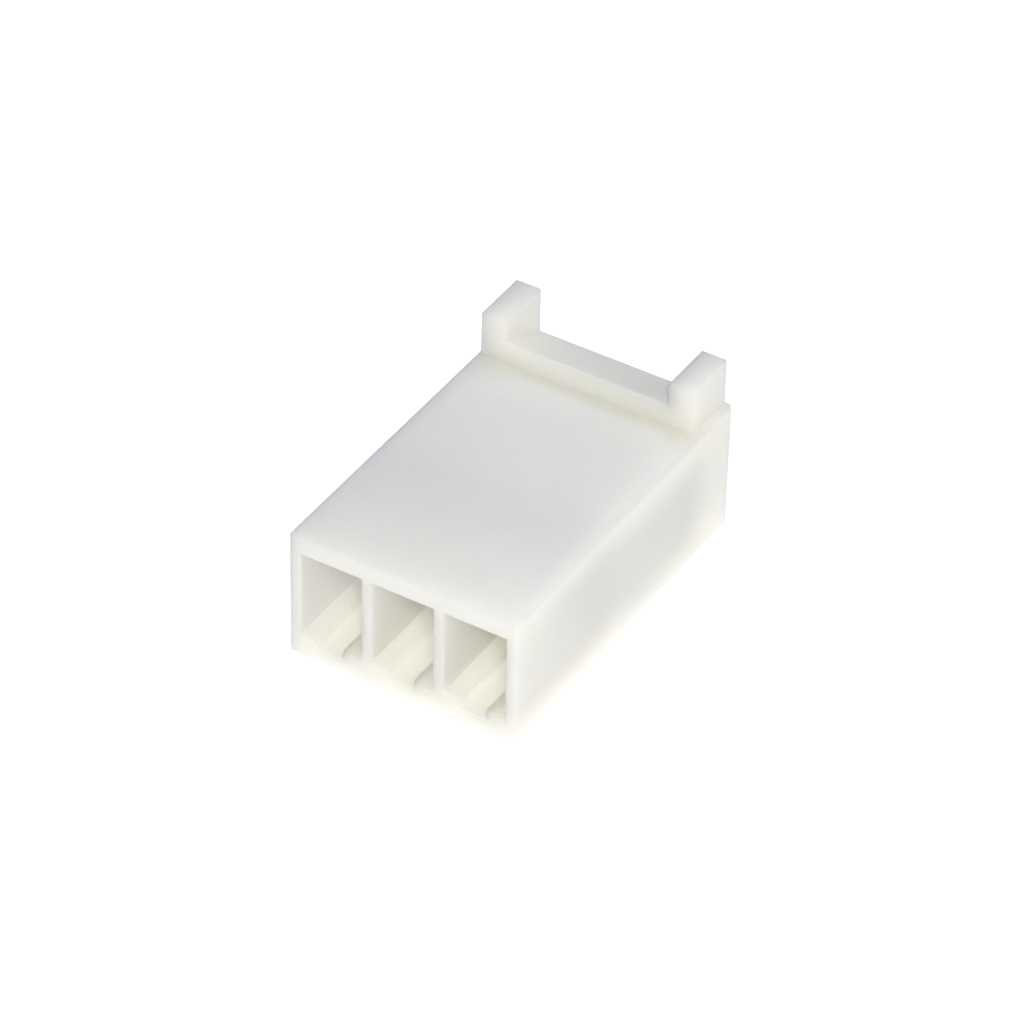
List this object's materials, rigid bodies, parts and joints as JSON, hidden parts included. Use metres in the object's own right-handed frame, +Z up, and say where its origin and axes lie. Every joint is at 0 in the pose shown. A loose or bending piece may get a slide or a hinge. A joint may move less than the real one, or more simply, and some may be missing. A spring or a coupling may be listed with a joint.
{
  "type": "wire to board connector housing",
  "caption": "Moulded crimp-terminal housing for a row of wires, with polarising ears and open terminal cavities; it plugs onto a row of header pins.",
  "frame": {"origin": "middle of the underside of the housing", "axes": "+X along the row of circuits, +Y towards the mating face, +Z up towards the ears"},
  "size_m": [0.008, 0.0126, 0.0063],
  "materials": {
    "natural_nylon": "fine satin, milky and slightly see-through"
  },
  "bodies": {
    "root": {"housing": "natural_nylon"}
  },
  "joints": []
}
